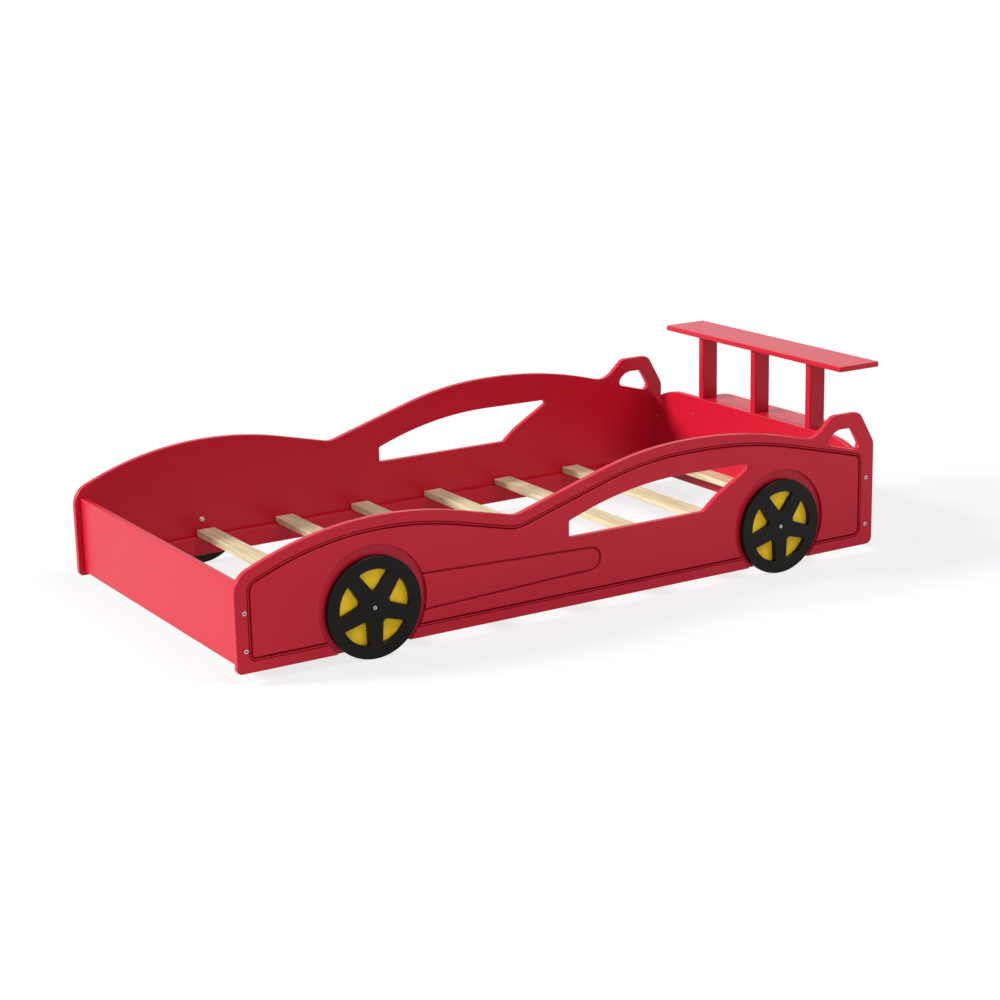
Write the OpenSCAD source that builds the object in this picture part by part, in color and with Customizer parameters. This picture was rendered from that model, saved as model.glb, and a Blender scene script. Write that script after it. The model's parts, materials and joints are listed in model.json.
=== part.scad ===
// Child's bed in the shape of a racing car: two routed side panels stand on
// wheel discs, hold a footboard, a headboard and slats, and carry a tail wing.
// The front of the car points along -X, the left side faces -Y, the floor is z = 0.

/* [Mattress space] */
// Clear length between footboard and headboard
mattress_length = 1908; // [1800:2:2040]
// Clear width between the side panels
mattress_width = 995; // [860:1:1100]
// Top of the slats above the floor
slat_top = 103; // [95:1:130]

/* [Boards] */
// Thickness of the side panels
panel_thickness = 18; // [15:0.5:22]
// Thickness of the footboard and headboard
board_thickness = 18; // [15:0.5:22]
// Footboard's front face behind the panels' front edge
front_inset = 16; // [6:1:26]
// Headboard's rear face before the panels' rear edge
rear_inset = 16; // [6:1:26]
// Lower edge of the side panels above the floor
panel_lift = 28; // [16:1:40]
// Lower edge of the footboard and headboard above the floor
board_lift = 38; // [30:1:50]
// Top of the footboard above the floor
footboard_top = 248; // [225:1:270]
// Top of the headboard and shelf above the floor
headboard_top = 318; // [300:1:335]
// Height that the headboard's top corners lose at the side panels
headboard_corner_drop = 48; // [20:1:60]
// Width of the sloping stretch of each headboard corner
headboard_corner_run = 66; // [40:1:90]
// Radius of the headboard's top corners
headboard_corner_radius = 250; // [60:5:300]

/* [Side panel outline, heights from the panel's lower edge] */
// Height of the nose corner
nose_height = 240; // [215:1:260]
// Radius of the nose corner
nose_radius = 64; // [30:1:70]
// Height of the bonnet
hood_height = 334; // [315:1:345]
// Bonnet's front tangent point behind the front edge
hood_front = 230; // [200:1:250]
// Bonnet's rear tangent point behind the front edge
hood_back = 522; // [500:1:560]
// Radius of the bonnet's front half
hood_front_radius = 880; // [500:10:900]
// Radius of the bonnet's rear half
hood_back_radius = 970; // [500:10:1000]
// Height of the lowest point between bonnet and roof
cowl_height = 270; // [255:1:285]
// Distance of that lowest point behind the front edge
cowl_reach = 792; // [760:1:820]
// Radius of the hollow between bonnet and roof
cowl_radius = 60; // [30:1:120]
// Height of the roof
roof_height = 390; // [375:1:400]
// Roof's front tangent point before the rear edge
roof_front = 783; // [740:1:820]
// Roof's rear tangent point before the rear edge
roof_back = 431; // [400:1:460]
// Radius of the roof's front half
roof_front_radius = 965; // [500:5:1000]
// Radius of the roof's rear half
roof_back_radius = 1290; // [800:5:1400]
// Height of the dip between roof and tail fin
dip_height = 326; // [316:1:340]
// Distance of the dip before the rear edge
dip_reach = 215; // [205:1:230]
// Radius of the dip
dip_radius = 66; // [20:1:80]
// Height of the tail fin
fin_height = 387; // [378:1:395]
// Tail fin's front corner before the rear edge
fin_front = 147; // [138:1:156]
// Tail fin's rear corner before the rear edge
fin_back = 52; // [40:1:60]
// Radius of the tail fin's front corner
fin_front_radius = 30; // [10:1:40]
// Radius of the tail fin's rear corner
fin_back_radius = 30; // [10:1:40]
// Height at which the rear edge turns upright
tail_height = 296; // [280:1:310]
// Radius of that turn
tail_radius = 40; // [10:1:60]
// Radius of the lower rear corner
heel_radius = 20; // [6:1:30]
// Radius of the lower front corner
toe_radius = 12; // [6:1:20]

/* [Side window] */
// Height of the window's sill over the panel's lower edge
sill_height = 185; // [175:1:195]
// Window's front edge behind the panel's front edge
window_front = 952; // [930:1:980]
// Height of the window's front edge at its top
window_front_height = 230; // [218:1:240]
// Height of the window under the roof
window_top = 300; // [290:1:310]
// Turn of the window's top before the panel's rear edge
window_turn = 823; // [790:1:850]
// Radius of the window's top
window_top_radius = 990; // [400:10:1000]
// Window's rear tip before the panel's rear edge
window_tip = 437; // [425:1:450]
// Height of the window's rear tip
window_tip_height = 284; // [276:1:290]
// Width of the blunt end at the rear tip
window_tip_bevel = 8; // [4:0.5:12]
// Bend of the window's rear edge before the panel's rear edge
window_bend = 550; // [530:1:565]
// Height of that bend
window_bend_height = 219; // [208:1:230]
// Radius of that bend
window_bend_radius = 250; // [50:10:300]
// Rear end of the sill before the panel's rear edge
sill_back = 590; // [575:1:605]
// Radius of the window's corners
window_corner_radius = 7; // [3:0.5:12]

/* [Hand hole in the tail fin] */
// Front corner of the hand hole before the rear edge
grip_front = 173; // [165:1:178]
// Height of that corner
grip_front_height = 309; // [304:1:314]
// Upper front corner of the hand hole before the rear edge
grip_shoulder = 136; // [126:1:142]
// Height of that corner
grip_shoulder_height = 346; // [340:1:350]
// Upper rear corner of the hand hole before the rear edge
grip_top = 80; // [76:1:86]
// Height of that corner
grip_top_height = 345; // [340:1:350]
// Rear corner of the hand hole before the rear edge
grip_back = 38; // [36:1:44]
// Height of that corner
grip_back_height = 272; // [266:1:278]
// Radius of the hand hole's lower and upper rear corners
grip_radius = 14; // [6:1:16]
// Radius of the hand hole's upper front corner
grip_shoulder_radius = 45; // [20:1:60]

/* [Routed lines] */
// Depth of the routed lines
line_depth = 3; // [1:0.25:4]
// Width of the border's outer line
border_outer_width = 2.5; // [2:0.25:4]
// Width of the border's inner line
border_inner_width = 4.5; // [3:0.25:6]
// Spacing of the border's two lines, which leave a bead between them
border_line_pitch = 6.5; // [6:0.25:10]
// Middle of the border's lines inside the front edge
border_front = 37; // [30:1:46]
// Middle of the border's lines below the upper edge
border_top = 32; // [26:1:40]
// Middle of the border's lines above the lower edge
border_bottom = 32; // [24:1:40]
// Middle of the border's lines inside the rear edge
border_rear = 48; // [40:1:56]
// Height of the border's upper rear corner
border_tail_height = 252; // [235:1:262]
// Radius of the border's rear corners
border_tail_radius = 22; // [10:1:40]
// Width of the door panel's line
door_line_width = 6; // [3:0.5:8]
// Rear end of the door panel's line behind the front edge
door_reach = 1047; // [980:1:1080]
// Height of the door panel's line at the front wheel, upper stretch
door_top_front = 170; // [160:1:178]
// Height of the door panel's line at its rear end, upper stretch
door_top_back = 146; // [138:1:155]
// Height of the door panel's line at the front wheel, lower stretch
door_bottom_front = 66; // [60:1:74]
// Height of the door panel's line at its rear end, lower stretch
door_bottom_back = 88; // [78:1:96]

/* [Wheels] */
// Radius of the wheel discs
wheel_radius = 132; // [124:1:138]
// Thickness of the wheel discs
wheel_thickness = 18; // [14:0.5:20]
// Front wheels' centre behind the front edge
front_axle = 373; // [350:1:400]
// Rear wheels' centre before the rear edge
rear_axle = 334; // [320:1:350]
// Rounding of the wheel discs' outer edges
wheel_edge_radius = 4; // [1:0.5:5]
// Radius of the wheel arch recess
arch_radius = 151; // [144:1:158]
// Depth of the wheel arch recess
arch_depth = 9; // [5:0.5:10]
// Centre of the wheel arch above the wheel's centre
arch_rise = 8; // [0:1:10]
// Number of windows in a wheel disc
spokes = 5; // [3:1:6]
// Outer radius of the windows in the wheel disc
spoke_window_outer = 98; // [90:1:106]
// Inner radius of the windows in the wheel disc
spoke_window_inner = 44; // [38:1:54]
// Half angle that a window takes at its outer edge
spoke_window_angle = 25; // [18:0.5:27]
// Width of a window's inner end
spoke_window_tip = 10; // [4:0.5:16]
// Corner radius of the windows in the wheel disc
spoke_window_radius = 3; // [1:0.5:5]
// Radius of the coloured inlay behind the windows
inlay_radius = 108; // [107:1:116]
// Thickness of the coloured inlay
inlay_thickness = 3; // [2:0.5:5]

/* [Slats and rails] */
// Width of a slat
slat_width = 56; // [40:1:80]
// Thickness of a slat
slat_thickness = 18; // [14:0.5:22]
// Free play of a slat at each end
slat_end_gap = 2; // [0.5:0.5:5]
// Rounding of the slats' long edges
slat_edge_radius = 2; // [0.5:0.5:4]
// Clear distance from the footboard to the second slat
second_slat_gap = 320; // [300:1:340]
// Pitch of the second to the seventh slat
slat_pitch = 248; // [230:1:250]
// Height of the rails that carry the slats
rail_height = 52; // [40:1:54]
// Thickness of the rails that carry the slats
rail_thickness = 20; // [16:0.5:28]
// Free play of a rail at each end
rail_end_gap = 3; // [1:0.5:10]
// Number of screws in a rail
rail_screw_count = 6; // [3:1:10]
// First and last rail screw from the rail's end
rail_screw_margin = 120; // [40:5:200]

/* [Shelf and tail wing] */
// Depth of the shelf behind the headboard
shelf_depth = 98; // [85:1:110]
// Thickness of the shelf
shelf_thickness = 15; // [12:0.5:18]
// Radius of the shelf's rear corners
shelf_radius = 24; // [5:1:40]
// Length of the batten under the shelf
batten_length = 640; // [600:5:700]
// Height of the batten under the shelf
batten_height = 60; // [50:1:70]
// Thickness of the batten under the shelf
batten_thickness = 20; // [16:0.5:24]
// Distance of the batten's screws from the bed's middle
batten_screw_reach = 284; // [275:1:290]
// Height of the batten's screws above the batten's lower edge
batten_screw_rise = 21; // [12:1:30]
// Spacing of the three posts
post_pitch = 255; // [220:1:280]
// Thickness of a post
post_thickness = 24; // [16:0.5:30]
// Depth of a post from front to back
post_depth = 55; // [48:1:65]
// Posts' front face behind the headboard's front face
post_setback = 8; // [0:0.5:14]
// Rounding of the posts' upright edges
post_edge_radius = 4; // [1:0.5:6]
// Top of the wing above the floor
wing_top = 523; // [480:1:560]
// Thickness of the wing
wing_thickness = 15; // [12:0.5:20]
// Length of the wing across the bed
wing_span = 830; // [700:5:900]
// Depth of the wing from front to back
wing_chord = 143; // [120:1:150]
// Wing's front edge before the posts' front faces
wing_overhang = 15; // [0:1:25]
// Radius of the wing's corners in plan
wing_radius = 6; // [2:1:20]

/* [Fasteners] */
// Diameter of the bolts through the side panels
bolt_diameter = 6; // [5:0.5:8]
// Diameter of their heads
bolt_head_diameter = 11; // [10:0.5:15]
// Height of their heads
bolt_head_height = 3; // [2.5:0.25:4]
// Width across the flats of their sockets
bolt_socket = 5; // [3:0.5:6]
// Depth of their sockets
bolt_socket_depth = 2; // [1:0.25:2]
// Reach of the bolts into the boards' ends
bolt_reach = 34; // [30:1:50]
// Diameter of the barrel nuts
barrel_nut_diameter = 10; // [9:0.5:12]
// Length of the barrel nuts
barrel_nut_length = 13; // [12:0.5:14]
// Distance of the barrel nuts from the boards' ends
barrel_nut_reach = 22; // [16:1:26]
// Lower footboard bolts above the panels' lower edge
foot_bolt_low = 56; // [45:1:70]
// Upper footboard bolts above the panels' lower edge
foot_bolt_high = 151; // [120:1:190]
// Lower headboard bolts above the panels' lower edge
head_bolt_low = 60; // [45:1:70]
// Upper headboard bolts above the panels' lower edge
head_bolt_high = 195; // [150:1:220]
// Diameter of the bolts that hold the wheel discs
axle_bolt_diameter = 6; // [5:0.5:7]
// Diameter of their heads
axle_head_diameter = 10; // [9:0.5:12]
// Height of their heads
axle_head_height = 4; // [3:0.5:5]
// Width across the flats of their sockets
axle_socket = 4; // [3:0.5:5]
// Diameter of the sinking round their heads
axle_sink_diameter = 14; // [13:0.5:20]
// Depth of the sinking round their heads
axle_sink_depth = 5; // [3:0.5:6]
// Width across the flats of the front wheels' nuts
axle_nut_width = 10; // [9:0.5:12]
// Height of the front wheels' nuts
axle_nut_height = 5; // [4:0.5:6]
// Diameter of the washers under those nuts
washer_diameter = 14; // [12:0.5:20]
// Thickness of the washers under those nuts
washer_thickness = 1.5; // [1:0.25:2.5]
// Diameter of the rear wheels' nuts, which are sunk in the panels
insert_diameter = 10; // [9:0.5:12]
// Panel left behind the rear wheels' nuts
insert_cover = 3; // [2:0.5:4]
// Diameter of the wood screws
screw_diameter = 4; // [3:0.5:5]
// Diameter of the wood screws' heads
screw_head_diameter = 8; // [7:0.5:10]
// Length of the rail and batten screws
screw_length = 30; // [27:0.5:31]
// Length of the screws that hold the posts
post_screw_length = 50; // [45:1:51]
// Reach of the batten's upright screws into the shelf
shelf_screw_reach = 10; // [6:0.5:11]
// Diameter of the dowels between posts and wing
dowel_diameter = 8; // [6:0.5:9]
// Length of the dowels between posts and wing
dowel_length = 30; // [24:1:40]
// Reach of the dowels into the wing
dowel_reach = 10; // [6:0.5:11]
// Spacing of a post's two dowels
dowel_pitch = 30; // [24:1:34]

/* [Hidden] */

red = "#b3202f";
black = "#1c1a18";
yellow = "#dcb414";
pine = "#dcc79a";
steel = "#b9bcc0";
beech = "#c9a673";

// Diametral clearance of a pin, bolt or nut in its bore
clearance = 0.4;
// Largest distance of an arc's chord from the arc
arc_tolerance = 0.15;
// Largest turn of one facet of an arc
arc_step_limit = 18;
// Overshoot of a cutter past the face that it opens
overcut = 1;
round_fn = 48;
disc_fn = 96;

half_width = mattress_width / 2;
panel_length = front_inset + board_thickness + mattress_length + board_thickness + rear_inset;
footboard_face = front_inset + board_thickness;
headboard_face = footboard_face + mattress_length;
headboard_rear = headboard_face + board_thickness;
post_front = headboard_face + post_setback;
post_middle = post_front + post_depth / 2;
wing_front = post_front - wing_overhang;
overall_length = max(panel_length, wing_front + wing_chord);
front_x = -overall_length / 2;
rail_top = slat_top - slat_thickness;
wing_bottom = wing_top - wing_thickness;
arch_height = wheel_radius + arch_rise - panel_lift;
bolt_bore = bolt_diameter + clearance;
axle_bore = axle_bolt_diameter + clearance;
screw_bore = screw_diameter + clearance;
shelf_half = post_pitch + post_thickness / 2;
shelf_bottom = headboard_top - shelf_thickness;
batten_bottom = shelf_bottom - batten_height;
shelf_screw_length = batten_height + shelf_screw_reach;
insert_length = panel_thickness - arch_depth - insert_cover;
shelf_screw_x = headboard_rear + batten_thickness / 2;
post_screw_x = (headboard_rear + batten_thickness + post_front + post_depth) / 2;

panel_corners = [
    [0, 0, toe_radius],
    [panel_length, 0, heel_radius],
    [panel_length, tail_height, tail_radius],
    [panel_length - fin_back, fin_height, fin_back_radius],
    [panel_length - fin_front, fin_height, fin_front_radius],
    [panel_length - dip_reach, dip_height, dip_radius],
    [panel_length - roof_back, roof_height, roof_back_radius],
    [panel_length - roof_front, roof_height, roof_front_radius],
    [cowl_reach, cowl_height, cowl_radius],
    [hood_back, hood_height, hood_back_radius],
    [hood_front, hood_height, hood_front_radius],
    [0, nose_height, nose_radius]
];

// The border follows the panel's outline, but passes below the tail fin
border_corners = [
    [0, 0, toe_radius + border_top],
    [panel_length, 0, heel_radius + border_top],
    [panel_length, border_tail_height + border_top, border_tail_radius + border_top],
    [panel_length - roof_back, roof_height, roof_back_radius],
    [panel_length - roof_front, roof_height, roof_front_radius],
    [cowl_reach, cowl_height, cowl_radius],
    [hood_back, hood_height, hood_back_radius],
    [hood_front, hood_height, hood_front_radius],
    [0, nose_height, nose_radius]
];
border_insets = [
    border_bottom, border_rear, border_top, border_top, border_top,
    border_top, border_top, border_top, border_front
];

window_corners = [
    [window_front, sill_height, window_corner_radius],
    [panel_length - sill_back, sill_height, window_corner_radius],
    [panel_length - window_bend, window_bend_height, window_bend_radius],
    [panel_length - window_tip, window_tip_height, window_corner_radius / 2],
    [panel_length - window_tip - window_tip_bevel, window_top - window_tip_bevel / 2,
        window_corner_radius / 2],
    [panel_length - window_turn, window_top, window_top_radius],
    [window_front, window_front_height, window_corner_radius]
];

grip_corners = [
    [panel_length - grip_front, grip_front_height, grip_radius],
    [panel_length - grip_back, grip_back_height, grip_radius],
    [panel_length - grip_top, grip_top_height, grip_radius],
    [panel_length - grip_shoulder, grip_shoulder_height, grip_shoulder_radius]
];

door_nose_radius = (door_top_back - door_bottom_back) / 2;
door_corners = [
    [front_axle, door_bottom_front, 0],
    [door_reach, door_bottom_back, door_nose_radius],
    [door_reach, door_top_back, door_nose_radius],
    [front_axle, door_top_front, 0]
];

spoke_window_corners = [
    [-spoke_window_tip / 2, spoke_window_inner, spoke_window_radius],
    [spoke_window_tip / 2, spoke_window_inner, spoke_window_radius],
    [spoke_window_outer * sin(spoke_window_angle), spoke_window_outer * cos(spoke_window_angle),
        spoke_window_radius],
    [0, spoke_window_outer / cos(spoke_window_angle), spoke_window_outer],
    [-spoke_window_outer * sin(spoke_window_angle), spoke_window_outer * cos(spoke_window_angle),
        spoke_window_radius]
];

headboard_corners = [
    [-half_width, board_lift, 0],
    [half_width, board_lift, 0],
    [half_width, headboard_top - headboard_corner_drop, 0],
    [half_width - headboard_corner_run, headboard_top, headboard_corner_radius],
    [-half_width + headboard_corner_run, headboard_top, headboard_corner_radius],
    [-half_width, headboard_top - headboard_corner_drop, 0]
];

// Outline helpers: a corner is [x, y, radius], and corners run anticlockwise
function wrapped(p, i) = p[(i + len(p)) % len(p)];
function direction(a, b) = atan2(b[1] - a[1], b[0] - a[0]);
function heading(p, i) = direction(wrapped(p, i), wrapped(p, i + 1));
function side_length(p, i) =
    let (a = wrapped(p, i), b = wrapped(p, i + 1)) norm([b[0] - a[0], b[1] - a[1]]);
function turn(p, i) =
    let (t = heading(p, i) - heading(p, i - 1)) t - 360 * round(t / 360);
function tangent(p, i) = wrapped(p, i)[2] * tan(abs(turn(p, i)) / 2);
function room(p, i) = side_length(p, i) / max(tangent(p, i) + tangent(p, i + 1), side_length(p, i));
function fitted_radius(p, i) = wrapped(p, i)[2] * min(room(p, i - 1), room(p, i));
function arc_step(r) = min(arc_step_limit, 2 * acos(1 - min(0.5, arc_tolerance / r)));
function arc(p, i) =
    let (
        corner = wrapped(p, i),
        bend = turn(p, i),
        r = fitted_radius(p, i),
        run = r * tan(abs(bend) / 2),
        way = heading(p, i - 1),
        start = [corner[0] - run * cos(way), corner[1] - run * sin(way)],
        side = sign(bend) * 90,
        centre = start + r * [cos(way + side), sin(way + side)],
        steps = ceil(abs(bend) / arc_step(r))
    )
    [for (k = [0 : steps]) let (a = way - side + bend * k / steps) centre + r * [cos(a), sin(a)]];
function rounded(p) = [
    for (i = [0 : len(p) - 1])
        for (q = wrapped(p, i)[2] > 0 ? arc(p, i) : [[p[i][0], p[i][1]]]) q
];

// The same corners moved inwards, each side by its own distance
function inset(p, distances, extra) = [
    for (i = [0 : len(p) - 1])
        let (
            before = wrapped(distances, i - 1) + extra,
            after = distances[i] + extra,
            u = heading(p, i - 1),
            v = heading(p, i),
            bend = turn(p, i)
        )
        [
            p[i][0] + (before * cos(v) - after * cos(u)) / sin(bend),
            p[i][1] + (before * sin(v) - after * sin(u)) / sin(bend),
            max(1, p[i][2] - sign(bend) * (border_top + extra))
        ]
];

module outline(corners) {
    polygon(rounded(corners));
}

// Moves children from a panel's own x and height to its place on the left or right side
module on_panel(side) {
    mirror([0, side == "right" ? 1 : 0, 0])
        translate([front_x, -half_width, panel_lift])
            rotate([90, 0, 0])
                children();
}

// Axle of a wheel in the panel's own frame
module at_axle(end) {
    translate([end == "front" ? front_axle : panel_length - rear_axle, wheel_radius - panel_lift, 0])
        children();
}

module at_panel_bolts() {
    foot_x = front_inset + board_thickness / 2;
    head_x = headboard_face + board_thickness / 2;
    for (place = [
        [foot_x, foot_bolt_low], [foot_x, foot_bolt_high],
        [head_x, head_bolt_low], [head_x, head_bolt_high]
    ])
        translate([place[0], place[1], 0])
            children();
}

module border_line(shift, width) {
    difference() {
        outline(inset(border_corners, border_insets, shift - width / 2));
        outline(inset(border_corners, border_insets, shift + width / 2));
    }
}

module door_line() {
    difference() {
        offset(delta = door_line_width / 2) outline(door_corners);
        offset(delta = -door_line_width / 2) outline(door_corners);
    }
}

module side_panel(side) {
    color(red)
        on_panel(side)
            difference() {
                linear_extrude(panel_thickness) difference() {
                    outline(panel_corners);
                    outline(window_corners);
                    outline(grip_corners);
                }
                translate([0, 0, panel_thickness - line_depth])
                    linear_extrude(line_depth + overcut) {
                        border_line(-border_line_pitch / 2, border_outer_width);
                        border_line(border_line_pitch / 2, border_inner_width);
                        door_line();
                    }
                for (end = ["front", "rear"])
                    at_axle(end)
                        translate([0, arch_rise, panel_thickness - arch_depth])
                            cylinder(r = arch_radius, h = arch_depth + overcut, $fn = disc_fn);
                at_axle("front")
                    translate([0, 0, -overcut])
                        cylinder(d = axle_bore, h = panel_thickness + 2 * overcut, $fn = round_fn);
                at_axle("rear")
                    translate([0, 0, insert_cover])
                        cylinder(d = insert_diameter + clearance, h = panel_thickness, $fn = round_fn);
                at_panel_bolts() {
                    translate([0, 0, -overcut])
                        cylinder(d = bolt_bore, h = panel_thickness + 2 * overcut, $fn = round_fn);
                    translate([0, 0, panel_thickness - bolt_head_height])
                        cylinder(d = bolt_head_diameter + clearance, h = bolt_head_height + overcut,
                            $fn = round_fn);
                }
                at_rail_screws()
                    translate([0, 0, -overcut])
                        cylinder(d = screw_bore, h = screw_length - rail_thickness + overcut, $fn = round_fn);
            }
}

// Bores for the bolts and barrel nuts in a board's two ends
module board_bores(face_x, nut_x, heights) {
    for (side = [0, 1], z = heights)
        mirror([0, side, 0])
            translate([0, -half_width, panel_lift + z]) {
                translate([face_x, -overcut, 0])
                    rotate([-90, 0, 0])
                        cylinder(d = bolt_bore, h = bolt_reach + 2 * overcut, $fn = round_fn);
                translate([nut_x, barrel_nut_reach, 0])
                    rotate([0, 90, 0])
                        cylinder(d = barrel_nut_diameter + clearance, h = barrel_nut_length + overcut,
                            $fn = round_fn);
            }
}

module footboard() {
    color(red)
        translate([front_x, 0, 0])
            difference() {
                translate([front_inset, -half_width, board_lift])
                    cube([board_thickness, mattress_width, footboard_top - board_lift]);
                board_bores(front_inset + board_thickness / 2, footboard_face - barrel_nut_length,
                    [foot_bolt_low, foot_bolt_high]);
            }
}

module headboard() {
    color(red)
        translate([front_x, 0, 0])
            difference() {
                translate([headboard_face, 0, 0])
                    rotate([90, 0, 90])
                        linear_extrude(board_thickness) outline(headboard_corners);
                board_bores(headboard_face + board_thickness / 2, headboard_face - overcut,
                    [head_bolt_low, head_bolt_high]);
                at_batten_screws()
                    screw_hole();
            }
}

module rear_shelf() {
    color(red)
        translate([front_x, 0, shelf_bottom])
            difference() {
                translate([headboard_rear, 0, 0])
                    linear_extrude(shelf_thickness) outline([
                        [0, -shelf_half, 0],
                        [shelf_depth, -shelf_half, shelf_radius],
                        [shelf_depth, shelf_half, shelf_radius],
                        [0, shelf_half, 0]
                    ]);
                at_posts()
                    translate([post_screw_x, 0, 0])
                        screw_hole();
                at_posts()
                    translate([shelf_screw_x, 0, -overcut])
                        cylinder(d = screw_bore, h = shelf_screw_reach + overcut, $fn = round_fn);
            }
}

module shelf_batten() {
    color(red)
        translate([front_x, 0, 0])
            difference() {
                translate([headboard_rear, -batten_length / 2, batten_bottom])
                    cube([batten_thickness, batten_length, batten_height]);
                at_batten_screws()
                    translate([0, 0, -overcut])
                        cylinder(d = screw_bore, h = screw_length + overcut, $fn = round_fn);
                at_posts()
                    translate([shelf_screw_x, 0, batten_bottom])
                        screw_hole();
            }
}

module at_posts() {
    for (y = [-post_pitch, 0, post_pitch])
        translate([0, y, 0])
            children();
}

// Start of each batten screw on the headboard's front face, pointing backwards
module at_batten_screws() {
    for (y = [-batten_screw_reach, batten_screw_reach])
        translate([headboard_face, y, batten_bottom + batten_screw_rise])
            rotate([0, 90, 0])
                children();
}

// Start of each rail screw on the panel's inner face, in the panel's own frame
module at_rail_screws() {
    first = footboard_face + rail_end_gap + rail_screw_margin;
    last = headboard_face - rail_end_gap - rail_screw_margin;
    pitch = (last - first) / (rail_screw_count - 1);
    for (i = [0 : rail_screw_count - 1])
        translate([first + i * pitch, rail_top - rail_height / 2 - panel_lift, 0])
            children();
}

module spoiler_post(place) {
    color(red)
        translate([front_x, place * post_pitch, headboard_top])
            difference() {
                linear_extrude(wing_bottom - headboard_top) outline([
                    [post_front, -post_thickness / 2, post_edge_radius],
                    [post_front + post_depth, -post_thickness / 2, post_edge_radius],
                    [post_front + post_depth, post_thickness / 2, post_edge_radius],
                    [post_front, post_thickness / 2, post_edge_radius]
                ]);
                translate([post_screw_x, 0, -overcut])
                    cylinder(d = screw_bore, $fn = round_fn,
                        h = post_screw_length - shelf_thickness + overcut);
                at_dowels()
                    translate([0, 0, wing_bottom - headboard_top - dowel_length + dowel_reach])
                        cylinder(d = dowel_diameter + clearance, h = dowel_length, $fn = round_fn);
            }
}

module at_dowels() {
    for (shift = [-dowel_pitch / 2, dowel_pitch / 2])
        translate([post_middle + shift, 0, 0])
            children();
}

module spoiler_wing() {
    color(red)
        translate([front_x, 0, wing_bottom])
            difference() {
                linear_extrude(wing_thickness) outline([
                    [wing_front, -wing_span / 2, wing_radius],
                    [wing_front + wing_chord, -wing_span / 2, wing_radius],
                    [wing_front + wing_chord, wing_span / 2, wing_radius],
                    [wing_front, wing_span / 2, wing_radius]
                ]);
                at_posts()
                    at_dowels()
                        translate([0, 0, -overcut])
                            cylinder(d = dowel_diameter + clearance, h = dowel_reach + overcut, $fn = round_fn);
            }
}

// A wheel's own frame: the wheel's axis is z, and z = 0 is the floor of the arch recess
module at_wheel(end, side) {
    on_panel(side)
        at_axle(end)
            translate([0, 0, panel_thickness - arch_depth])
                children();
}

module wheel_disc(end, side) {
    color(black)
        at_wheel(end, side)
            difference() {
                rotate_extrude($fn = disc_fn) polygon(rounded([
                    [0, 0, 0],
                    [wheel_radius, 0, wheel_edge_radius],
                    [wheel_radius, wheel_thickness, wheel_edge_radius],
                    [0, wheel_thickness, 0]
                ]));
                translate([0, 0, -overcut])
                    cylinder(r = inlay_radius + clearance / 2, h = inlay_thickness + overcut, $fn = disc_fn);
                for (i = [0 : spokes - 1])
                    rotate([0, 0, i * 360 / spokes])
                        linear_extrude(wheel_thickness + overcut) outline(spoke_window_corners);
                cylinder(d = axle_bore, h = wheel_thickness + overcut, $fn = round_fn);
                translate([0, 0, wheel_thickness - axle_sink_depth])
                    cylinder(d = axle_sink_diameter, h = axle_sink_depth + overcut, $fn = round_fn);
            }
}

module wheel_inlay(end, side) {
    color(yellow)
        at_wheel(end, side)
            difference() {
                cylinder(r = inlay_radius, h = inlay_thickness, $fn = disc_fn);
                translate([0, 0, -overcut])
                    cylinder(d = axle_bore, h = inlay_thickness + 2 * overcut, $fn = round_fn);
            }
}

module slat_rail(side) {
    color(red)
        on_panel(side)
            difference() {
                translate([footboard_face + rail_end_gap, rail_top - rail_height - panel_lift, -rail_thickness])
                    cube([mattress_length - 2 * rail_end_gap, rail_height, rail_thickness]);
                at_rail_screws()
                    translate([0, 0, -rail_thickness])
                        screw_hole();
            }
}

// Front edge of each slat behind the panels' front edge: the first lies against
// the footboard, the last against the headboard
function slat_front(i) =
    i == 1 ? footboard_face
    : i == 8 ? headboard_face - slat_width
    : footboard_face + second_slat_gap + (i - 2) * slat_pitch;

module slat(i) {
    color(pine)
        translate([front_x + slat_front(i), half_width - slat_end_gap, rail_top])
            rotate([90, 0, 0])
                linear_extrude(mattress_width - 2 * slat_end_gap) outline([
                    [0, 0, slat_edge_radius],
                    [slat_width, 0, slat_edge_radius],
                    [slat_width, slat_thickness, slat_edge_radius],
                    [0, slat_thickness, slat_edge_radius]
                ]);
}

module panel_bolts() {
    color(steel)
        for (side = ["left", "right"])
            on_panel(side)
                at_panel_bolts()
                    difference() {
                        union() {
                            translate([0, 0, panel_thickness - bolt_head_height])
                                cylinder(d = bolt_head_diameter, h = bolt_head_height, $fn = round_fn);
                            translate([0, 0, -bolt_reach])
                                cylinder(d = bolt_diameter, $fn = round_fn,
                                    h = bolt_reach + panel_thickness - bolt_socket_depth);
                        }
                        translate([0, 0, panel_thickness - bolt_socket_depth])
                            cylinder(d = bolt_socket / cos(30), h = bolt_head_height, $fn = 6);
                    }
}

module barrel_nut() {
    difference() {
        cylinder(d = barrel_nut_diameter, h = barrel_nut_length, $fn = round_fn);
        translate([0, 0, board_thickness / 2 - (board_thickness - barrel_nut_length)])
            rotate([90, 0, 0])
                cylinder(d = bolt_bore, h = barrel_nut_diameter + 2 * overcut, center = true, $fn = round_fn);
    }
}

module barrel_nuts() {
    color(steel)
        for (side = [0, 1])
            mirror([0, side, 0])
                translate([front_x, -half_width + barrel_nut_reach, panel_lift]) {
                    for (z = [foot_bolt_low, foot_bolt_high])
                        translate([footboard_face - barrel_nut_length, 0, z])
                            rotate([0, 90, 0])
                                barrel_nut();
                    for (z = [head_bolt_low, head_bolt_high])
                        translate([headboard_face + barrel_nut_length, 0, z])
                            rotate([0, -90, 0])
                                barrel_nut();
                }
}

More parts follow.
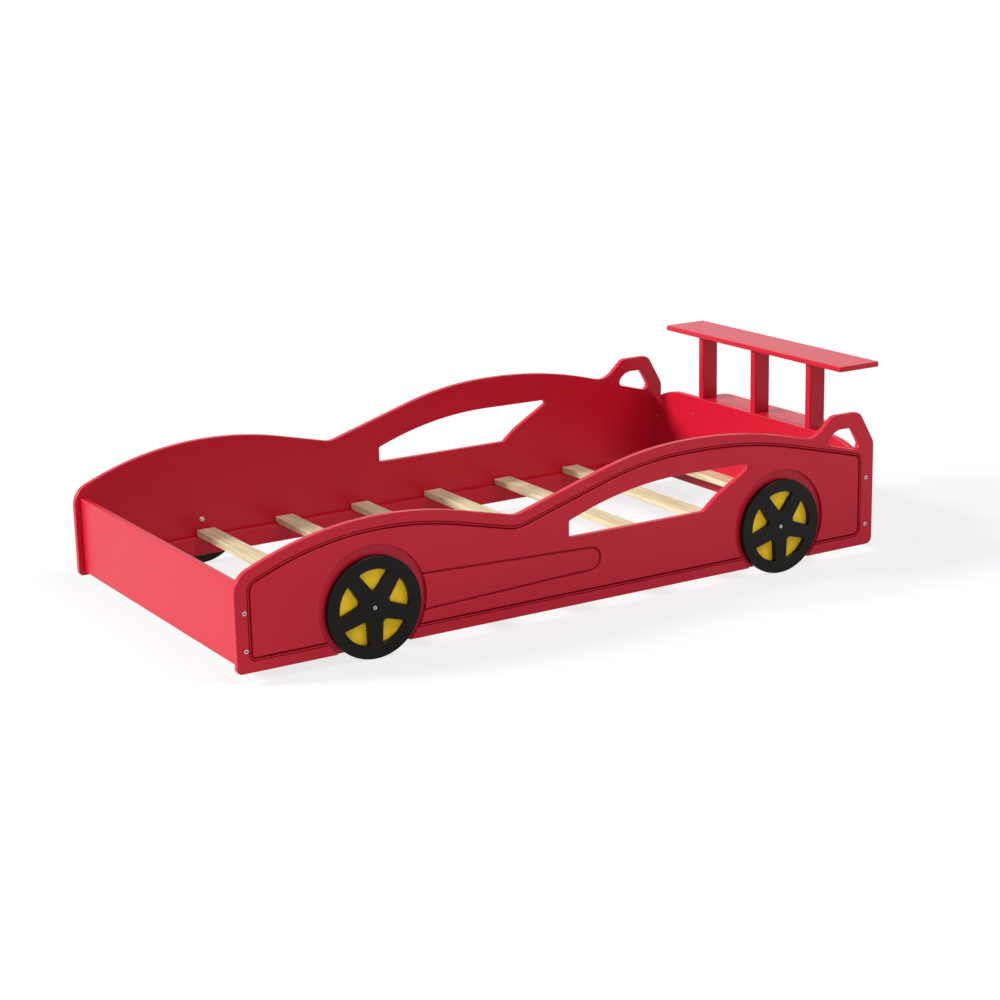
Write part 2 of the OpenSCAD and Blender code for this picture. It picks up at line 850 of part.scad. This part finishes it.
// The front bolts run through the panel to a nut, the rear ones end in a nut sunk in the panel
module wheel_bolt(end) {
    head_seat = wheel_thickness - axle_sink_depth;
    tail = end == "front"
        ? arch_depth - panel_thickness - washer_thickness - axle_nut_height - overcut
        : clearance - insert_length;
    difference() {
        union() {
            translate([0, 0, head_seat])
                cylinder(d = axle_head_diameter, h = axle_head_height, $fn = round_fn);
            translate([0, 0, tail])
                cylinder(d = axle_bolt_diameter, h = head_seat - tail + overcut, $fn = round_fn);
        }
        translate([0, 0, head_seat + axle_head_height / 2])
            cylinder(d = axle_socket / cos(30), h = axle_head_height, $fn = 6);
    }
}

module wheel_bolts() {
    color(steel)
        for (end = ["front", "rear"], side = ["left", "right"])
            at_wheel(end, side)
                wheel_bolt(end);
}

module wheel_washers() {
    color(steel)
        for (side = ["left", "right"])
            at_wheel("front", side)
                translate([0, 0, arch_depth - panel_thickness - washer_thickness])
                    difference() {
                        cylinder(d = washer_diameter, h = washer_thickness, $fn = round_fn);
                        translate([0, 0, -overcut])
                            cylinder(d = axle_bore, h = washer_thickness + 2 * overcut, $fn = round_fn);
                    }
}

// A nut's ring from z = 0 downwards, six-sided or round
module nut(across, height, sides) {
    translate([0, 0, -height])
        difference() {
            cylinder(d = across, h = height, $fn = sides);
            translate([0, 0, -overcut])
                cylinder(d = axle_bore, h = height + 2 * overcut, $fn = round_fn);
        }
}

module wheel_nuts() {
    color(steel)
        for (side = ["left", "right"]) {
            at_wheel("front", side)
                translate([0, 0, arch_depth - panel_thickness - washer_thickness])
                    nut(axle_nut_width / cos(30), axle_nut_height, 6);
            at_wheel("rear", side)
                nut(insert_diameter, insert_length, round_fn);
        }
}

// Countersunk hole that starts at z = 0 and runs upwards, and the screw that fills it
module screw_hole() {
    translate([0, 0, -overcut])
        cylinder(d = screw_bore, h = shelf_screw_length + overcut, $fn = round_fn);
    translate([0, 0, -overcut])
        cylinder(d = screw_head_diameter + clearance, h = overcut, $fn = round_fn);
    cylinder(d1 = screw_head_diameter + clearance, d2 = screw_bore,
        h = (screw_head_diameter - screw_diameter) / 2, $fn = round_fn);
}

module screw(length) {
    difference() {
        union() {
            cylinder(d1 = screw_head_diameter, d2 = screw_diameter,
                h = (screw_head_diameter - screw_diameter) / 2, $fn = round_fn);
            cylinder(d = screw_diameter, h = length, $fn = round_fn);
        }
        translate([0, 0, -overcut])
            cylinder(d = screw_diameter * 0.6, h = overcut + screw_diameter / 4, $fn = 6);
    }
}

module rail_screws() {
    color(red)
        for (side = ["left", "right"])
            on_panel(side)
                at_rail_screws()
                    translate([0, 0, -rail_thickness])
                        screw(screw_length);
}

module batten_screws() {
    color(steel)
        translate([front_x, 0, 0])
            at_batten_screws()
                screw(screw_length);
}

module shelf_screws() {
    color(steel)
        at_posts()
            translate([front_x + shelf_screw_x, 0, batten_bottom])
                screw(shelf_screw_length);
}

module post_screws() {
    color(steel)
        at_posts()
            translate([front_x + post_screw_x, 0, shelf_bottom])
                screw(post_screw_length);
}

module wing_dowels() {
    color(beech)
        at_posts()
            at_dowels()
                translate([front_x, 0, wing_bottom + dowel_reach - dowel_length])
                    cylinder(d = dowel_diameter, h = dowel_length, $fn = round_fn);
}

side_panel("left");  // left_side_panel
side_panel("right");  // right_side_panel
footboard();
headboard();
rear_shelf();
shelf_batten();
spoiler_wing();
spoiler_post(-1);  // left_spoiler_post
spoiler_post(0);  // middle_spoiler_post
spoiler_post(1);  // right_spoiler_post
wheel_disc("front", "left");  // front_left_wheel
wheel_disc("front", "right");  // front_right_wheel
wheel_disc("rear", "left");  // rear_left_wheel
wheel_disc("rear", "right");  // rear_right_wheel
wheel_inlay("front", "left");  // front_left_wheel_inlay
wheel_inlay("front", "right");  // front_right_wheel_inlay
wheel_inlay("rear", "left");  // rear_left_wheel_inlay
wheel_inlay("rear", "right");  // rear_right_wheel_inlay
slat_rail("left");  // left_slat_rail
slat_rail("right");  // right_slat_rail
slat(1);  // slat_1
slat(2);  // slat_2
slat(3);  // slat_3
slat(4);  // slat_4
slat(5);  // slat_5
slat(6);  // slat_6
slat(7);  // slat_7
slat(8);  // slat_8
panel_bolts();
barrel_nuts();
wheel_bolts();
wheel_washers();
wheel_nuts();
rail_screws();
batten_screws();
shelf_screws();
post_screws();
wing_dowels();
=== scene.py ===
import json
import math

import bmesh
import bpy
from mathutils import Matrix, Vector


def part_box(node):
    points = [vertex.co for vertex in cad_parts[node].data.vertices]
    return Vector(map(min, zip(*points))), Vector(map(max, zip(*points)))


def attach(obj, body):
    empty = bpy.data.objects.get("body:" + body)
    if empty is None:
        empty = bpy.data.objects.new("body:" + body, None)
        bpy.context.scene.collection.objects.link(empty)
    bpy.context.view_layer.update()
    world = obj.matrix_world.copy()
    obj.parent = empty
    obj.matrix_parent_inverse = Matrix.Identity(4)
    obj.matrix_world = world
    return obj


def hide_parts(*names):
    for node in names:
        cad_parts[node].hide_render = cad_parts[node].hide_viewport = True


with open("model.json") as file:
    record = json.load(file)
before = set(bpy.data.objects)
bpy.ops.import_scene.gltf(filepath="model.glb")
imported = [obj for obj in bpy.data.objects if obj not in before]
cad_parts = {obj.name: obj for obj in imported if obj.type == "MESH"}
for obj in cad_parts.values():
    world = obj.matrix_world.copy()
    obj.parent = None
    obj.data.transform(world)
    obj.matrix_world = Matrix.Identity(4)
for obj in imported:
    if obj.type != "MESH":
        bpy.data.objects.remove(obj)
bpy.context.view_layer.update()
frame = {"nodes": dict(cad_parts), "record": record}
print("Frame loaded:", len(frame["nodes"]), "nodes")

millimetre = 0.001
sameLevel = 0.05 * millimetre  # points this near to a plane lie in it

# Camera at the photograph's viewing angle
camera = {
    "place": (-3.136, -5.140, 1.782),
    "headingDegrees": 31.56,
    "downDegrees": 14.815,
    "tiltDegrees": -1.187,
    "lensMillimetres": 80.24,
    "sensorMillimetres": 36.0,
    "farthestMetres": 500.0,
}

# A key from the car's front, one light overhead and a weak one at the near side, in a white room;
# each direction points at its light
light = {
    "keySoftbox": {"direction": (-0.773, 0.387, 0.503), "strength": 4.15, "widthDegrees": 14.0},
    "overheadSoftbox": {"direction": (0.3, -0.45, 0.84), "strength": 1.05, "widthDegrees": 20.0},
    "nearSoftbox": {"direction": (-0.45, -0.75, 0.48), "strength": 0.5, "widthDegrees": 24.0},
    "roomStrength": 0.17,
    "backdropStrength": 1.0,
}


# sRGB hex to linear
def linearColour(hexColour):
    channels = [int(hexColour[i:i + 2], 16) / 255 for i in (1, 3, 5)]
    return [c / 12.92 if c <= 0.04045 else ((c + 0.055) / 1.055) ** 2.4 for c in channels] + [1.0]


# One node with its settings and links; a setting is a socket's name or number, or a property
def addNode(tree, kind, settings=None, links=None):
    node = tree.nodes.new(kind)
    for key, value in (settings or {}).items():
        if key == "stops":
            elements = node.color_ramp.elements
            while len(elements) < len(value):
                elements.new(0.5)
            for element, (position, colour) in zip(elements, value):
                isHex = isinstance(colour, str)
                element.position = position
                element.color = linearColour(colour) if isHex else (colour, colour, colour, 1)
        elif isinstance(key, int) or key in node.inputs:
            node.inputs[key].default_value = value
        else:
            setattr(node, key, value)
    for key, (source, output) in (links or {}).items():
        tree.links.new(source.outputs[output], node.inputs[key])
    return node


def startMaterial(name):
    material = bpy.data.materials.new(name)
    material.use_nodes = True
    material.node_tree.nodes.clear()
    coordinates = addNode(material.node_tree, "ShaderNodeTexCoord")
    return material, material.node_tree, coordinates


def endMaterial(tree, shader):
    addNode(tree, "ShaderNodeOutputMaterial", {}, {"Surface": (shader, 0)})


# Texture scale for a pattern of this size in millimetres
def patternScale(sizeMm):
    return 1 / (sizeMm * millimetre)


recessRim = 0.7  # a recess gets no painted shade from its rim down to this share of its depth


# How much painted shade a routed line or a socket gets: nothing at its rim and on its wall, up to one at its
# bottom
def paintedRecessShade(tree):
    depth = addNode(tree, "ShaderNodeAttribute", {"attribute_name": "recess"})
    return addNode(tree, "ShaderNodeMapRange", {"From Min": recessRim}, {"Value": (depth, "Fac")})


lacquerCoat = {
    "refraction": 1.5,
    "cloudStops": (0.3, 0.5, 0.7),
    "cloudDetail": 3.0,
    "cloudRoughness": 0.55,
    "roughnessBelow": 0.01,
    "roughnessAbove": 0.02,
    "recessGloss": 0.02,
    "peelMm": 2.6,
    "peelDetail": 2.0,
    "peelStrength": 0.12,
    "peelHeightMm": 0.4,
}


# Lacquer sprayed on fibreboard: smooth and satin, with a faint orange peel and soft clouds in the gloss;
# given a line shade colour, the bottoms of the routed lines get painted shade in that colour and are duller
def satinLacquer(name, colours, roughness, gloss, cloudMm=90.0, lineShadeColour=None):
    material, tree, coordinates = startMaterial(name)
    cloud = addNode(tree, "ShaderNodeTexNoise",
                    {"Scale": patternScale(cloudMm), "Detail": lacquerCoat["cloudDetail"],
                     "Roughness": lacquerCoat["cloudRoughness"]},
                    {"Vector": (coordinates, "Object")})
    colour = addNode(tree, "ShaderNodeValToRGB", {"stops": list(zip(lacquerCoat["cloudStops"], colours))},
                     {"Fac": (cloud, "Fac")})
    sheen = addNode(tree, "ShaderNodeMapRange",
                    {"To Min": roughness - lacquerCoat["roughnessBelow"],
                     "To Max": roughness + lacquerCoat["roughnessAbove"]},
                    {"Value": (cloud, "Fac")})
    peel = addNode(tree, "ShaderNodeTexNoise",
                   {"Scale": patternScale(lacquerCoat["peelMm"]), "Detail": lacquerCoat["peelDetail"]},
                   {"Vector": (coordinates, "Object")})
    bump = addNode(tree, "ShaderNodeBump",
                   {"Strength": lacquerCoat["peelStrength"],
                    "Distance": lacquerCoat["peelHeightMm"] * millimetre},
                   {"Height": (peel, "Fac")})
    shader = addNode(tree, "ShaderNodeBsdfPrincipled",
                     {"IOR": lacquerCoat["refraction"], "Specular IOR Level": gloss},
                     {"Base Color": (colour, "Color"), "Roughness": (sheen, "Result"),
                      "Normal": (bump, "Normal")})
    if lineShadeColour:
        # painted shade: the bottoms of the routed lines are mixed towards the line shade colour, with less
        # gloss
        recess = paintedRecessShade(tree)
        paintedLineShade = addNode(tree, "ShaderNodeMix", {"data_type": "RGBA", 7: linearColour(lineShadeColour)},
                           {0: (recess, "Result"), 6: (colour, "Color")})
        shine = addNode(tree, "ShaderNodeMapRange", {"To Min": gloss, "To Max": lacquerCoat["recessGloss"]},
                        {"Value": (recess, "Result")})
        tree.links.new(paintedLineShade.outputs[2], shader.inputs["Base Color"])
        tree.links.new(shine.outputs["Result"], shader.inputs["Specular IOR Level"])
    endMaterial(tree, shader)
    return material


bareTimber = {
    "roughness": 0.62,
    "gloss": 0.3,
    "shadeStops": (0.5, 0.62, 0.78),
    "lengthwiseScale": 0.05,  # the lines are twenty times as long as they are wide
    "wanderMm": 160.0,
    "wander": 0.02,
    "growthDetail": 1.5,
    "growthRoughness": 0.4,
    "poreMm": 1.1,
    "poreShare": 0.3,
    "fineDetail": 2.0,
    "knotMm": 260.0,
    "knotStops": [(0.015, 0.8), (0.05, 0.0)],
    "reliefStrength": 0.25,
    "reliefHeightMm": 0.3,
}


# Planed wood, left bare: pale and matt, with growth lines along the piece, fine pores and a few knots
def planedWood(name, colours, knotColour, growthMm=9.0):
    material, tree, coordinates = startMaterial(name)
    wander = addNode(tree, "ShaderNodeTexNoise",
                     {"Scale": patternScale(bareTimber["wanderMm"]), "Detail": bareTimber["fineDetail"]},
                     {"Vector": (coordinates, "Object")})
    alongPiece = addNode(tree, "ShaderNodeMapping", {"Scale": (1.0, bareTimber["lengthwiseScale"], 1.0)},
                         {"Vector": (coordinates, "Object")})
    bent = addNode(tree, "ShaderNodeVectorMath",
                   {"operation": "MULTIPLY_ADD", 1: (bareTimber["wander"], 0.0, bareTimber["wander"])},
                   {0: (wander, "Color"), 2: (alongPiece, "Vector")})
    growth = addNode(tree, "ShaderNodeTexNoise",
                     {"Scale": patternScale(growthMm), "Detail": bareTimber["growthDetail"],
                      "Roughness": bareTimber["growthRoughness"]},
                     {"Vector": (bent, "Vector")})
    pores = addNode(tree, "ShaderNodeTexNoise",
                    {"Scale": patternScale(bareTimber["poreMm"]), "Detail": bareTimber["fineDetail"]},
                    {"Vector": (alongPiece, "Vector")})
    grain = addNode(tree, "ShaderNodeMath", {"operation": "MULTIPLY_ADD", 1: bareTimber["poreShare"]},
                    {0: (pores, "Fac"), 2: (growth, "Fac")})
    timber = addNode(tree, "ShaderNodeValToRGB", {"stops": list(zip(bareTimber["shadeStops"], colours))},
                     {"Fac": (grain, "Value")})
    knots = addNode(tree, "ShaderNodeTexVoronoi",
                    {"Scale": patternScale(bareTimber["knotMm"]), "Randomness": 1.0},
                    {"Vector": (coordinates, "Object")})
    knotMask = addNode(tree, "ShaderNodeValToRGB", {"stops": bareTimber["knotStops"]},
                       {"Fac": (knots, "Distance")})
    colour = addNode(tree, "ShaderNodeMix", {"data_type": "RGBA", 7: linearColour(knotColour)},
                     {0: (knotMask, "Color"), 6: (timber, "Color")})
    bump = addNode(tree, "ShaderNodeBump",
                   {"Strength": bareTimber["reliefStrength"],
                    "Distance": bareTimber["reliefHeightMm"] * millimetre},
                   {"Height": (grain, "Value")})
    shader = addNode(tree, "ShaderNodeBsdfPrincipled",
                     {"Roughness": bareTimber["roughness"], "Specular IOR Level": bareTimber["gloss"]},
                     {"Base Color": (colour, 2), "Normal": (bump, "Normal")})
    endMaterial(tree, shader)
    return material


zincPlating = {"smoothest": 0.24, "roughest": 0.44, "grainMm": 1.2, "grainDetail": 2.0}


# Zinc-plated steel: bright grey with a fine cloudy grain; given a socket shade colour, the sockets get
# painted shade in that colour
def zincPlatedSteel(name, colour, socketShadeColour=None):
    material, tree, coordinates = startMaterial(name)
    grain = addNode(tree, "ShaderNodeTexNoise",
                    {"Scale": patternScale(zincPlating["grainMm"]), "Detail": zincPlating["grainDetail"]},
                    {"Vector": (coordinates, "Object")})
    sheen = addNode(tree, "ShaderNodeMapRange",
                    {"To Min": zincPlating["smoothest"], "To Max": zincPlating["roughest"]},
                    {"Value": (grain, "Fac")})
    shader = addNode(tree, "ShaderNodeBsdfPrincipled", {"Base Color": linearColour(colour), "Metallic": 1.0},
                     {"Roughness": (sheen, "Result")})
    # painted shade: the sockets are mixed towards the socket shade colour
    if socketShadeColour:
        plating = addNode(tree, "ShaderNodeMix",
                          {"data_type": "RGBA", 6: linearColour(colour), 7: linearColour(socketShadeColour)},
                          {0: (paintedRecessShade(tree), "Result")})
        tree.links.new(plating.outputs[2], shader.inputs["Base Color"])
    endMaterial(tree, shader)
    return material


redShades = ("#be152c", "#bf152d", "#c0162e")
blackShades = ("#0b0a08", "#0e0c0a", "#12100d")
yellowShades = ("#ffcc08", "#ffd20e", "#ffd716")
pineShades = ("#c2b38b", "#cdbf9a", "#d7ccab")
beechShades = ("#b98d5f", "#c39a6b", "#cca678")
materials = {
    "red_lacquer": satinLacquer("satinRedLacquer", redShades, 0.32, 0.24),
    "lacquered_steel": satinLacquer("redLacquerOverSteel", redShades, 0.32, 0.24),
    "black_lacquer": satinLacquer("satinBlackLacquer", blackShades, 0.3, 0.15),
    "yellow_lacquer": satinLacquer("satinYellowLacquer", yellowShades, 0.42, 0.32, 30.0),
    "pine": planedWood("planedPine", pineShades, "#8c6f4f"),
    "beech": planedWood("turnedBeech", beechShades, "#a97c50", 3.0),
    "zinc_plated_steel": zincPlatedSteel("zincPlatedSteel", "#c6c3c1"),
}
recessedMaterials = {
    # painted shade in the routed lines, in the line shade colour #740109
    "sidePanel": satinLacquer("routedRedLacquer", redShades, 0.32, 0.24, lineShadeColour="#740109"),
    # painted shade in the bolt sockets, in the socket shade colour #2a1214
    "socketHead": zincPlatedSteel("socketedZincPlatedSteel", "#c6c3c1", "#2a1214"),
}
print("Materials made:", len(materials) + len(recessedMaterials))

slotOf = {row["node"]: row["material_slot"] for row in frame["record"]["subparts"]}

# How edges are told apart and rounded
edgeRules = {
    "mergeReach": 0.02 * millimetre,
    "flatAngle": math.radians(0.5),  # faces that meet flatter than this become one
    "levelSlack": 0.01 * millimetre,
    "sharpAngle": math.radians(50),  # sharper edges are rounded, flatter ones are steps in a curve
    "shadingAngle": math.radians(35),
    "throughShare": 0.97,  # a wall at least this deep runs right through its board
    "boardSegments": 4,
    "smallSegments": 2,
}


# The node's own triangles, merged into broad faces that can take a rounded edge
def mergedCopy(nodeName):
    work = bmesh.new()
    work.from_mesh(frame["nodes"][nodeName].data)
    work.edges.layers.float.new("bevel_weight_edge")
    work.verts.layers.float.new("recess")
    bmesh.ops.remove_doubles(work, verts=work.verts, dist=edgeRules["mergeReach"])
    bmesh.ops.dissolve_limit(work, angle_limit=edgeRules["flatAngle"], verts=work.verts, edges=work.edges)
    bmesh.ops.recalc_face_normals(work, faces=work.faces)
    return work


def spanOf(face, axis):
    places = [v.co[axis] for v in face.verts]
    return max(places) - min(places)


def isSharp(edge):
    return len(edge.link_faces) == 2 and edge.calc_face_angle() > edgeRules["sharpAngle"]


# Sharp edges that lie level across a board, each with its plane and the depth of the wall beside it
def levelEdges(work, axis):
    found = []
    for edge in work.edges:
        ends = [v.co[axis] for v in edge.verts]
        if abs(ends[0] - ends[1]) < edgeRules["levelSlack"] and isSharp(edge):
            depth = max(spanOf(face, axis) for face in edge.link_faces)
            found.append({"edge": edge, "plane": ends[0], "depth": depth})
    return found


# Groups edges where they touch, and gives each edge its group's reach and lowest point in millimetres
def measureGroups(edges):
    meeting = {}
    for edge in edges:
        for v in edge.verts:
            meeting.setdefault(v, []).append(edge)
    measures = {}
    for first in edges:
        if first in measures:
            continue
        group, waiting = {first}, [first]
        while waiting:
            for v in waiting.pop().verts:
                fresh = [e for e in meeting[v] if e not in group]
                group.update(fresh)
                waiting.extend(fresh)
        places = [v.co for edge in group for v in edge.verts]
        reach = max(max(p[i] for p in places) - min(p[i] for p in places) for i in range(3))
        lowest = min(p.z for p in places)
        for edge in group:
            measures[edge] = {"reach": reach / millimetre, "lowest": lowest / millimetre}
    return measures


# The different levels among some heights in millimetres, lowest first
def distinctLevels(heights, step=0.5):
    levels = []
    for height in sorted(heights):
        if not levels or height > levels[-1] + step:
            levels.append(height)
    return levels


# Each long line's rank by its lowest point, from the bottom up; the short ones, round bolts, have none
def rankLines(edges, shortest):
    measures = {edge: m for edge, m in measureGroups(edges).items() if m["reach"] > shortest}
    levels = distinctLevels(m["lowest"] for m in measures.values())
    return {edge: min(range(len(levels)), key=lambda i: abs(levels[i] - m["lowest"]))
            for edge, m in measures.items()}


# Marks an edge's ends with how much painted shade they get
def markPaintedShade(work, edge, amount):
    layer = work.verts.layers.float["recess"]
    for v in edge.verts:
        v[layer] = amount


# Rounds each chosen edge of a copy by its own radius in millimetres, and puts the copy in the node's place
def roundedPiece(nodeName, work, radii, segments, material):
    name = nodeName + "_rounded"
    widest = max(radii.values(), default=0)
    weights = work.edges.layers.float["bevel_weight_edge"]
    for edge, radius in radii.items():
        edge[weights] = radius / widest
    mesh = bpy.data.meshes.new(name)
    work.to_mesh(mesh)
    work.free()
    mesh.shade_smooth()
    mesh.set_sharp_from_angle(angle=edgeRules["shadingAngle"])
    piece = bpy.data.objects.new(name, mesh)
    bpy.context.scene.collection.objects.link(piece)
    if widest:
        rounding = piece.modifiers.new("roundedEdges", "BEVEL")
        rounding.limit_method = "WEIGHT"
        rounding.width = widest * millimetre
        rounding.segments = segments
        rounding.profile = 0.5
        rounding.use_clamp_overlap = False
        rounding.loop_slide = False
    piece.modifiers.new("evenNormals", "WEIGHTED_NORMAL").keep_sharp = True
    mesh.materials.append(material)
    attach(piece, "root")
    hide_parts(nodeName)


# Radii in millimetres; lines are listed from the lowest up
sidePanel = {
    "outlineRadius": 2.5,
    "archRadius": 1.6,
    "archDepthRatio": 1.5,  # a recess this many times as deep as a line is a wheel arch
    "rimRadii": (0.9, 1.0, 2.4, 2.2),  # border's outer edge, the bead in it, its inner edge, the door line
    "floorPaintedShade": (1.0, 1.0, 0.9),  # painted shade at the bottom of the border's outer line, its inner line, the door line
    "lineFloorRadius": 0.5,
    "boltHoleRadius": 0.4,
    "boltHoleReach": 20.0,
}


# The panel's outline is rounded on both faces, its routed lines and wheel arches on the outer face
def makeSidePanel(nodeName):
    low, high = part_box(nodeName)
    outer = low.y if nodeName.startswith("left") else high.y
    throughDepth = edgeRules["throughShare"] * (high.y - low.y)
    work = mergedCopy(nodeName)
    edges = levelEdges(work, 1)
    through = [e for e in edges if e["depth"] > throughDepth]
    routed = [e for e in edges if e["depth"] <= throughDepth and abs(e["plane"] - outer) < sameLevel]
    lineDepth = min(e["depth"] for e in routed)
    archDepth = sidePanel["archDepthRatio"] * lineDepth
    rims = [e["edge"] for e in routed if e["depth"] <= archDepth]
    floors = [e["edge"] for e in edges if abs(abs(e["plane"] - outer) - lineDepth) < sameLevel]
    radii = {e["edge"]: sidePanel["outlineRadius"] for e in through if e["edge"].is_convex}
    radii.update({e["edge"]: sidePanel["archRadius"] for e in routed if e["depth"] > archDepth})
    radii.update({edge: sidePanel["boltHoleRadius"] for edge in rims + floors})
    rimRadii, floorPaintedShade = sidePanel["rimRadii"], sidePanel["floorPaintedShade"]
    for edge, rank in rankLines(rims, sidePanel["boltHoleReach"]).items():
        radii[edge] = rimRadii[min(rank, len(rimRadii) - 1)]
    # the bottoms of the routed lines are marked for painted shade
    for edge, rank in rankLines(floors, sidePanel["boltHoleReach"]).items():
        radii[edge] = sidePanel["lineFloorRadius"]
        markPaintedShade(work, edge, floorPaintedShade[min(rank, len(floorPaintedShade) - 1)])
    roundedPiece(nodeName, work, radii, edgeRules["boardSegments"], recessedMaterials["sidePanel"])


# Boards whose long edges are rounded; those that butt against the side panels stay square at their ends
boards = {
    "footboard": {"across": 0, "radius": 2.5, "squareEnds": True},
    "headboard": {"across": 0, "radius": 2.5, "squareEnds": True},
    "rear_shelf": {"across": 2, "radius": 2.0, "squareEnds": False},
    "shelf_batten": {"across": 0, "radius": 1.5, "squareEnds": False},
    "spoiler_wing": {"across": 2, "radius": 2.2, "squareEnds": False},
    "left_slat_rail": {"across": 1, "radius": 2.0, "squareEnds": False},
    "right_slat_rail": {"across": 1, "radius": 2.0, "squareEnds": False},
}


def makeBoard(nodeName, board):
    low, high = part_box(nodeName)
    axis = board["across"]
    throughDepth = edgeRules["throughShare"] * (high[axis] - low[axis])
    work = mergedCopy(nodeName)
    radii = {}
    for e in levelEdges(work, axis):
        atEnd = any(all(abs(v.co.y - end) < sameLevel for v in e["edge"].verts) for end in (low.y, high.y))
        if e["depth"] > throughDepth and not (board["squareEnds"] and atEnd):
            radii[e["edge"]] = board["radius"]
    roundedPiece(nodeName, work, radii, edgeRules["boardSegments"], materials[slotOf[nodeName]])


wheelDisc = {"windowRadius": 2.2, "boltSinkRadius": 0.8, "boltSinkReach": 20.0}


# A wheel disc is rounded at its rim and where its windows open on the outer face
def makeWheelDisc(nodeName):
    low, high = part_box(nodeName)
    outer = low.y if "left" in nodeName else high.y
    work = mergedCopy(nodeName)
    onFace = [e["edge"] for e in levelEdges(work, 1) if abs(e["plane"] - outer) < sameLevel]
    radii = {}
    for edge, measure in measureGroups(onFace).items():
        small = measure["reach"] < wheelDisc["boltSinkReach"]
        radii[edge] = wheelDisc["boltSinkRadius"] if small else wheelDisc["windowRadius"]
    roundedPiece(nodeName, work, radii, edgeRules["boardSegments"], materials[slotOf[nodeName]])


# The rest has a small rounding on every sharp edge, in millimetres
smallRounding = {
    "pine": 0.8,
    "red_lacquer": 0.8,
    "yellow_lacquer": 0.3,
    "beech": 0.8,
    "zinc_plated_steel": 0.3,
    "lacquered_steel": 0.3,
}


# In plated pieces the sockets, whose bottom edges point inwards, are marked for painted shade
def makeSmallPiece(nodeName):
    work = mergedCopy(nodeName)
    plated = slotOf[nodeName] == "zinc_plated_steel"
    sharp = [edge for edge in work.edges if isSharp(edge)]
    socketEdges = [edge for edge in sharp if plated and not edge.is_convex]
    for edge in socketEdges:
        markPaintedShade(work, edge, 1.0)
    radii = {edge: smallRounding[slotOf[nodeName]] for edge in sharp}
    material = recessedMaterials["socketHead"] if socketEdges else materials[slotOf[nodeName]]
    roundedPiece(nodeName, work, radii, edgeRules["smallSegments"], material)


for nodeName in sorted(frame["nodes"]):
    if nodeName.endswith("side_panel"):
        makeSidePanel(nodeName)
    elif nodeName in boards:
        makeBoard(nodeName, boards[nodeName])
    elif slotOf[nodeName] == "black_lacquer":
        makeWheelDisc(nodeName)
    else:
        makeSmallPiece(nodeName)
print("Pieces rounded:", len(frame["nodes"]))


# One for what the camera sees, by itself or in a reflection or through glass, and nothing for bounced light
def seenDirectly(tree):
    path = addNode(tree, "ShaderNodeLightPath")
    sees = addNode(tree, "ShaderNodeMath", {"operation": "ADD"},
                   {0: (path, "Is Camera Ray"), 1: (path, "Is Glossy Ray")})
    return addNode(tree, "ShaderNodeMath", {"operation": "ADD", "use_clamp": True},
                   {0: (sees, "Value"), 1: (path, "Is Transmission Ray")})


# To the camera a share of the floor's white is its own, which keeps the shadow pale; its reach is in metres
floor = {"reach": 150.0, "colour": "#e0e0e0", "ownWhite": 0.72, "ownStrength": 1.06}


def makeFloor():
    work = bmesh.new()
    bmesh.ops.create_grid(work, x_segments=1, y_segments=1, size=floor["reach"])
    mesh = bpy.data.meshes.new("studioFloor")
    work.to_mesh(mesh)
    work.free()
    ground = bpy.data.objects.new("studioFloor", mesh)
    bpy.context.scene.collection.objects.link(ground)
    material, tree, _ = startMaterial("palePaintedFloor")
    share = addNode(tree, "ShaderNodeMath", {"operation": "MULTIPLY", 1: floor["ownWhite"]},
                    {0: (seenDirectly(tree), "Value")})
    paint = addNode(tree, "ShaderNodeBsdfDiffuse", {"Color": linearColour(floor["colour"])})
    white = addNode(tree, "ShaderNodeEmission", {"Strength": floor["ownStrength"]})
    shader = addNode(tree, "ShaderNodeMixShader", {}, {0: (share, "Value"), 1: (paint, 0), 2: (white, 0)})
    endMaterial(tree, shader)
    mesh.materials.append(material)


def makeWorld():
    world = bpy.data.worlds.new("studioRoom")
    bpy.context.scene.world = world
    world.use_nodes = True
    tree = world.node_tree
    tree.nodes.clear()
    strength = addNode(tree, "ShaderNodeMapRange",
                       {"To Min": light["roomStrength"], "To Max": light["backdropStrength"]},
                       {"Value": (seenDirectly(tree), "Value")})
    background = addNode(tree, "ShaderNodeBackground", {"Color": linearColour("#ffffff")},
                         {"Strength": (strength, "Result")})
    addNode(tree, "ShaderNodeOutputWorld", {}, {"Surface": (background, "Background")})


def makeLamp(name, settings):
    lamp = bpy.data.lights.new(name, "SUN")
    lamp.energy = settings["strength"]
    lamp.angle = math.radians(settings["widthDegrees"])
    lampObject = bpy.data.objects.new(name, lamp)
    bpy.context.scene.collection.objects.link(lampObject)
    lampObject.rotation_euler = Vector(settings["direction"]).to_track_quat("Z", "Y").to_euler()


def makeCamera():
    lens = bpy.data.cameras.new("photoCamera")
    lens.lens = camera["lensMillimetres"]
    lens.sensor_width = camera["sensorMillimetres"]
    lens.clip_end = camera["farthestMetres"]
    eye = bpy.data.objects.new("photoCamera", lens)
    bpy.context.scene.collection.objects.link(eye)
    turn = (Matrix.Rotation(-math.radians(camera["headingDegrees"]), 4, "Z")
            @ Matrix.Rotation(math.radians(90 - camera["downDegrees"]), 4, "X")
            @ Matrix.Rotation(math.radians(camera["tiltDegrees"]), 4, "Z"))
    eye.matrix_world = Matrix.Translation(camera["place"]) @ turn
    bpy.context.scene.camera = eye


makeFloor()
makeWorld()
for lampName in ("keySoftbox", "overheadSoftbox", "nearSoftbox"):
    makeLamp(lampName, light[lampName])
makeCamera()
bpy.context.scene.view_settings.view_transform = "Standard"
print("Studio set")
